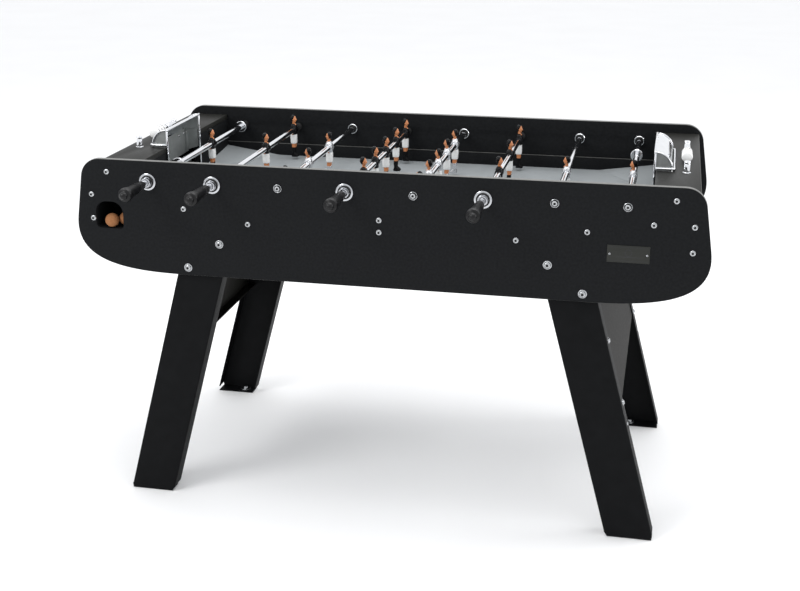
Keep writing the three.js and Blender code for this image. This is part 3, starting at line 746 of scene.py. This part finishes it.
def leg_shells():
    """A folded leg at +X, +Y: web outside, flanges down both edges, foot flange on the floor."""
    bend, inner_bend = 4.5, 1.5
    profile = []
    for cx, cy, r, start, way in ((bend, bend, bend, 180, 1), (LEG_W - bend, bend, bend, 270, 1),
                                  (LEG_W - bend, bend, inner_bend, 360, -1),
                                  (bend, bend, inner_bend, 270, -1)):
        for k in range(6):
            a = math.radians(start + way * 90 * k / 5)
            profile.append((cx + r * math.cos(a), cy + r * math.sin(a)))
    tips = {0: [(0, FLANGE)], 12: [(LEG_W, FLANGE), (LEG_W - LEG_T, FLANGE)], 24: [(LEG_T, FLANGE)]}
    ring = tips[0] + profile[:12] + tips[12] + profile[12:] + tips[24]

    def at(z):
        return [(LEG_OUT - SLOPE * z - u, WEB_Y - v, z) for u, v in ring]

    shells = [loft([at(RELIEF), at(LEG_TOP)])]
    low, high = LEG_OUT - LEG_W + FOOT_CUT, LEG_OUT - FOOT_CUT
    ell = [(WEB_Y, RELIEF)]
    for k in range(6):
        a = math.radians(90 * k / 5)
        ell.append((WEB_Y - bend + bend * math.cos(a), bend - bend * math.sin(a)))
    ell += [(WEB_Y - FLANGE, 0), (WEB_Y - FLANGE, LEG_T)]
    for k in range(6):
        a = math.radians(90 - 90 * k / 5)
        ell.append((WEB_Y - bend + inner_bend * math.cos(a), bend - inner_bend * math.sin(a)))
    ell += [(WEB_Y - LEG_T, RELIEF)]
    shells.append(prism(ell, "X", low, high))
    leg_edge = LEG_OUT - SLOPE * RELIEF
    for edge, chamfer_x in ((low, leg_edge - LEG_W), (high, leg_edge)):
        shells.append(prism([(edge, RELIEF), (edge, 1.0), (chamfer_x, RELIEF)], "Y",
                            WEB_Y - LEG_T, WEB_Y))
    return shells


LEVELLER = lathe([(0, LEG_T), (15, LEG_T), (15.6, LEG_T + 0.6), (15.6, LEG_T + 3.6),
                  (15, LEG_T + 4.2), (7, LEG_T + 4.4), (6.4, LEG_T + 9), (5.6, LEG_T + 9.8),
                  (0, LEG_T + 9.8)],
                 (602, 336, 0), UP, 36)
CROSS_BOLTS, CROSS_SCREW, BOLT_INSET = [510, 354], 299, 25
slant = Vector((1, 0, SLOPE)).normalized()
for end, sx in (("left", -1), ("right", 1)):
    for side, sy in (("near", -1), ("far", 1)):
        hardware = []
        for z in CROSS_BOLTS:
            hardware += washer_bolt(LEG_OUT - SLOPE * z, WEB_Y - BOLT_INSET, z, 8.0, slant)
        hardware += screw(LEG_OUT - SLOPE * CROSS_SCREW, WEB_Y - BOLT_INSET, CROSS_SCREW, 4.5,
                          slant)
        hardware.append((LEVELLER, "zinc"))
        piece(f"folded_leg_{side}_{end}",
              [(flipped(shell, sx, sy), "coat") for shell in leg_shells()],
              replaces=[f"leg_{side}_{end}"])
        piece(f"leg_hardware_{side}_{end}",
              [(flipped(shell, sx, sy), key) for shell, key in hardware])


# ---- rods ------------------------------------------------------------------------------------
def rod_tube(mouth, end):
    """The sliding tube, from its open end to inside the grip."""
    low, high = sorted((mouth, end))
    r = TUBE_R
    bore = INNER_R + 0.6
    return lathe([(bore, low), (r - 0.5, low), (r, low + 0.6), (r, high), (bore, high),
                  (bore, low)], ORIGIN, TO_FAR, 40)


def grip_shell(start, way):
    """The moulded grip, tapered out to a bead with a ball at the tip."""
    ribs = []
    for k in range(4):
        t = 6 + k * 7
        base = 10.6 + 0.058 * t
        ribs += [(base, t), (base + 0.1, t + 2.6), (base - 0.7, t + 3.6), (base - 0.6, t + 4.8)]
    bead = [(13.0, 50), (14.0, 72), (15.6, 84), (16.6, 90), (17, 95), (16.7, 99.5), (15.4, 102.8),
            (13, 104.3), (10.4, 104.8), (9.7, 105.4)]
    ball = [(9.9 * math.cos(a), 107.0 + 9.8 * math.sin(a))
            for a in (math.radians(v) for v in (0, 18, 36, 54, 72))]
    return lathe([(0, 0), (9.0, 0), (10.2, 1.0), *ribs, *bead, *ball, (0, GRIP_LENGTH - 0.2)],
                 (0, start, 0), (0, way, 0), 48)


COLLAR_AT, COLLAR_HALF, COLLAR_R = 250.0, 4.0, 16.0


def collar(at):
    """The stop collar of a goalkeeper rod."""
    r, h = COLLAR_R, COLLAR_HALF
    profile = [(TUBE_R, -h), (r - 1.2, -h), (r, -h + 1.2), (r, h - 1.2), (r - 1.2, h), (TUBE_R, h),
               (TUBE_R, -h)]
    return lathe([(a, t + at) for a, t in profile], ORIGIN, TO_FAR, 48)


# ---- players -------------------------------------------------------------------------------------
def warped(shell, rule):
    """The shell with each of its points moved by a rule."""
    return [Vector(rule(Vector(p))) for p in shell[0]], shell[1]


def ellipsoid(centre, radii, rings, sides):
    """An ellipsoid with its radii along X, Y and Z."""
    profile = [(math.sin(math.pi * k / rings), -math.cos(math.pi * k / rings))
               for k in range(rings + 1)]
    profile[0], profile[-1] = (0, -1), (0, 1)
    points, faces = lathe(profile, ORIGIN, UP, sides)
    c = Vector(centre)
    return [c + Vector((p.x * radii[0], p.y * radii[1], p.z * radii[2])) for p in points], faces


def face_form(p):
    """Pulls a plain head ellipsoid into a simple toy face: brow, nose, chin."""
    q = p.copy()
    if p.x > 0:
        middle_line = math.exp(-(p.y / 2.2) ** 2)
        q.x += 1.9 * middle_line * math.exp(-((p.z - 29.5) / 2.4) ** 2)
        eye = math.exp(-((abs(p.y) - 2.9) / 1.4) ** 2)
        q.x -= 0.7 * eye * math.exp(-((p.z - 32.4) / 1.5) ** 2)
        q.x += 0.7 * middle_line * math.exp(-((p.z - 22.8) / 1.8) ** 2)
        q.x -= 0.35 * math.exp(-(p.y / 2.4) ** 2) * math.exp(-((p.z - 26.1) / 0.7) ** 2)
    return q


def hair_form(p):
    """Flattens the front of the hair so that the face shows, with a fringe above it."""
    q = p.copy()
    limit = 0.4 + max(0.0, p.z - 33.0) * 0.62
    if q.x > limit:
        q.x = limit + (q.x - limit) * 0.08
    q.x -= 0.35 * math.sin(p.y * 1.5) * (1 if p.x < 0 else 0)
    return q


def player_mesh(name, shirt, shorts, socks, shoes):
    """A moulded player that faces +X with the rod through its chest at the origin."""
    parts = []

    def add(shell, key):
        parts.append((shell, key))

    add(loft([section(z, rx, ry, cx, power=p) for z, rx, ry, cx, p in (
        (-13.5, 8.2, 10.6, 0, 2.8), (-12.6, 8.9, 11.2, 0, 2.8), (-6, 9.0, 11.3, 0, 2.7),
        (0, 9.6, 11.8, 0.3, 2.6), (6, 9.8, 12.3, 0.4, 2.6), (10.5, 8.8, 12.4, 0, 2.5),
        (13.8, 7.2, 11.4, -0.2, 2.4), (16.2, 5.4, 8.6, -0.3, 2.2), (17.8, 4.3, 5.2, 0, 2))]), shirt)
    add(lathe([(0, -13), (9.4, -13), (10.4, -12), (10.6, -9), (10.6, 9), (10.4, 12), (9.4, 13),
               (0, 13)], ORIGIN, TO_FAR, 36), shirt)
    for sy in (-1, 1):
        add(wire([(-0.5, sy * 9.8, 12.5), (-1.6, sy * 10.6, 6), (-2.4, sy * 10.7, -1),
                  (-1.6, sy * 10.4, -7)], 2.9), shirt)
        add(ellipsoid((-0.6, sy * 10.4, -11.2), (2.4, 1.9, 2.9), 8, 14), "skin")
        add(loft([section(z, rx, ry, cx, sy * cy, 2.3, 20) for z, rx, ry, cx, cy in (
            (-37, 5.6, 4.5, 0, 4.9), (-42, 5.3, 4.5, 0.2, 4.8), (-47, 5.4, 4.4, 0.7, 4.8),
            (-52.5, 4.9, 4.2, 0.2, 4.8))]), "skin")
        add(loft([section(z, rx, ry, cx, sy * 4.8, 2.3, 20) for z, rx, ry, cx in (
            (-50.6, 5.1, 4.4, 0.2), (-51.4, 5.6, 4.7, 0.2), (-53.4, 5.5, 4.6, 0.1),
            (-58, 5.6, 4.5, -0.5), (-64, 4.8, 4.2, -0.4), (-70, 4.5, 4.1, 0))]), socks)
        add(loft([section(z, rx, ry, cx, sy * 4.8, p, 24) for z, rx, ry, cx, p in (
            (-67.5, 4.6, 4.2, 0, 2.3), (-69.5, 5.6, 4.5, 0.4, 2.3), (-72.5, 8.0, 4.7, 2.2, 2.4),
            (-75.5, 9.8, 4.75, 2.8, 2.6), (-78, 10.1, 4.75, 2.8, 2.8),
            (-79, 9.6, 4.4, 2.8, 2.8))]), shoes)
    add(loft([section(z, rx, ry, cx, power=p) for z, rx, ry, cx, p in (
        (-11.8, 8.0, 10.4, 0, 2.8), (-12.6, 8.7, 11.0, 0, 2.8), (-16, 9.0, 11.2, -0.3, 2.8),
        (-24, 9.3, 11.3, -0.4, 2.8), (-33, 9.0, 11.2, 0, 3), (-38.6, 8.6, 10.9, 0, 3),
        (-39.4, 7.8, 10.2, 0, 3))]), shorts)
    add(lathe([(0, 10), (4.6, 10), (4.3, 15), (3.9, 19), (3.9, 24), (0, 24)], (0.4, 0, 0),
              UP, 24), "skin")
    add(ellipsoid((4.0, 0, 14.6), (3.6, 3.4, 3.6), 10, 18), "skin")
    add(warped(ellipsoid((1.0, 0, 30.6), (6.9, 6.3, 10.4), 22, 32), face_form), "skin")
    for sy in (-1, 1):
        add(ellipsoid((0.6, sy * 6.5, 29.8), (1.5, 0.9, 2.3), 6, 12), "skin")
    add(warped(ellipsoid((-1.5, 0, 33.0), (7.5, 7.3, 10.0), 20, 32), hair_form), "black")
    return make_mesh(name, parts, 0.7)


# The mesh and slot of each team, by the way it attacks: black towards +X, white towards -X.
TEAMS = {
    1: (player_mesh("black_player", "black", "white", "black", "black"), "black_team"),
    -1: (player_mesh("white_player", "silver", "white", "silver", "silver"), "white_team"),
}
turn_mesh(TEAMS[-1][0])

# Profiles of the end nut, and of two dark rings painted as shade: one in the groove round its head,
# one at the bottom of its socket.
END_NUT = [
    ([(0, 3.2), (2.8, 3.2), (3.2, 5.6), (3.8, 6.2), (5.6, 6.2), (6.4, 5.5), (6.6, 2.4), (8.4, 2.4),
      (9.4, 3.0), (10.2, 2.4), (10.5, 1.4), (10.5, 0.2), (0, 0.2)], 3),
    ([(6.5, 2.3), (8.3, 2.3), (8.3, 2.9), (6.5, 2.9), (6.5, 2.3)], 0),
    ([(0, 3.0), (2.7, 3.0), (2.7, 3.9), (0, 3.9)], 4),
]

for index, (x, side) in enumerate(zip(ROD_X, GRIP_SIDE)):
    number = index + 1
    body = f"rod_{number}"
    low, high = span(body, 1)
    mouth, tip = (high, low) if side < 0 else (low, high)
    grip_start = tip - side * GRIP_LENGTH
    at = (x, 0, ROD_Z)
    piece(f"tube_{number}", [(rod_tube(mouth, grip_start + side * 8), "chrome")], body=body,
          replaces=[body], at=at)
    piece(f"grip_{number}", [(grip_shell(grip_start, side), "grip")], body=body,
          at=at)
    men = [f"player_{number}_{m + 1}" for m in range(MEN[index])]
    if MEN[index] == 1:
        rest = middle(men[0], 1)
        for k, offset in enumerate((-COLLAR_AT, COLLAR_AT)):
            piece(f"collar_{number}_{k + 1}", [(collar(rest + offset), "chrome")], body=body,
                  at=at)
    mesh, slot_name = TEAMS[-side]
    for man in men:
        piece(f"figure_{man}", mesh, body=body, replaces=[man],
              at=(x, middle(man, 1), ROD_Z))

    fixed = -side  # the side of the panel that holds the inner rod
    shaft = lathe([(0, -INNER_REACH), (INNER_R - 0.6, -INNER_REACH), (INNER_R, 1 - INNER_REACH),
                   (INNER_R, FACE + 0.4), (0, FACE + 0.4)], ORIGIN, (0, fixed, 0), 32)
    nut, groove, socket = (lathe([(r, FACE + t) for r, t in profile], ORIGIN, (0, fixed, 0), 44,
                                 hexed=hexed) for profile, hexed in END_NUT)
    # The groove and socket rings are painted shade in the dark material.
    piece(f"inner_shaft_{number}", [(shaft, "chrome"), (nut, "zinc"), (groove, "rubber_and_painted_shade"),
                                    (socket, "rubber_and_painted_shade")], body=f"inner_rod_{number}",
          replaces=[f"inner_rod_{number}"], at=at)
    points, faces = stop_ring(0, INNER_R + 0.2, -fixed)
    points = [Vector((p[0], p[1], p[2] - ROD_Z)) for p in points]
    piece(f"fixed_stop_{number}", [((points, faces), "rubber_and_painted_shade")], body=f"inner_rod_{number}",
          at=at)


# ---- balls ---------------------------------------------------------------------------------------
BALL_R = 17.3
PITS, PIT_DEPTH = 60, 0.018  # how many pits, and how deep for a radius of 1
PIT_COS, PIT_SPAN = 0.992, 0.008  # a pit starts at this cosine from its middle
random.seed(7)
for k in (1, 2):
    name = f"ball_{k}"
    low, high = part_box(name)
    centre = (low + high) / 2 / MM
    bm = bmesh.new()
    bmesh.ops.create_icosphere(bm, subdivisions=5, radius=BALL_R)
    pits = [Vector((random.gauss(0, 1), random.gauss(0, 1), random.gauss(0, 1))).normalized()
            for _ in range(PITS)]
    for vert in bm.verts:
        near = max(vert.co.normalized().dot(p) for p in pits)
        vert.co *= 1 - PIT_DEPTH * max(0.0, (near - PIT_COS) / PIT_SPAN)
    bm.verts.index_update()
    shell = [v.co.copy() for v in bm.verts], [[v.index for v in f.verts] for f in bm.faces]
    bm.free()
    piece(f"cork_{name}", [(shell, "cork")], body=name, replaces=[name], angle=1.2,
          at=centre)

# ---- stage ---------------------------------------------------------------------------------------
M["floor"] = node_material("floor", (0.93, 0.93, 0.93), 0.9, specular=0.1, tint=0.01,
                           tint_scale=2)
FLOOR_HALF, FLOOR_Z0, FLOOR_Z1 = 60000, -20, -0.2
floor_shell = bevelled(block(-FLOOR_HALF, FLOOR_HALF, -FLOOR_HALF, FLOOR_HALF, FLOOR_Z0, FLOOR_Z1),
                       5)
floor = bpy.data.objects.new("floor", make_mesh("floor", [(floor_shell, "floor")]))
bpy.context.scene.collection.objects.link(floor)

world = bpy.data.worlds.new("studio")
bpy.context.scene.world = world
world.use_nodes = True
world.node_tree.nodes["Background"].inputs["Color"].default_value = (0.97, 0.98, 1.0, 1)
world.node_tree.nodes["Background"].inputs["Strength"].default_value = 1.06


def area_light(name, location, target, size, power):
    """A square soft light, in metres and watts, that points at a target."""
    data = bpy.data.lights.new(name, "AREA")
    data.shape = "SQUARE"
    data.size = size
    data.energy = power
    obj = bpy.data.objects.new(name, data)
    obj.location = location
    obj.rotation_euler = (Vector(target) - Vector(location)).to_track_quat("-Z", "Y").to_euler()
    bpy.context.scene.collection.objects.link(obj)


area_light("key", (-2.2, -2.6, 3.4), (0, 0, 0.7), 1.6, 55)
area_light("top", (0.3, 0.4, 3.6), (0, 0, 0.8), 3.0, 70)
area_light("right", (3.4, 0.6, 1.7), (0.5, 0, 0.5), 1.4, 26)

bpy.context.scene.view_settings.view_transform = "Standard"
bpy.context.scene.view_settings.look = "None"
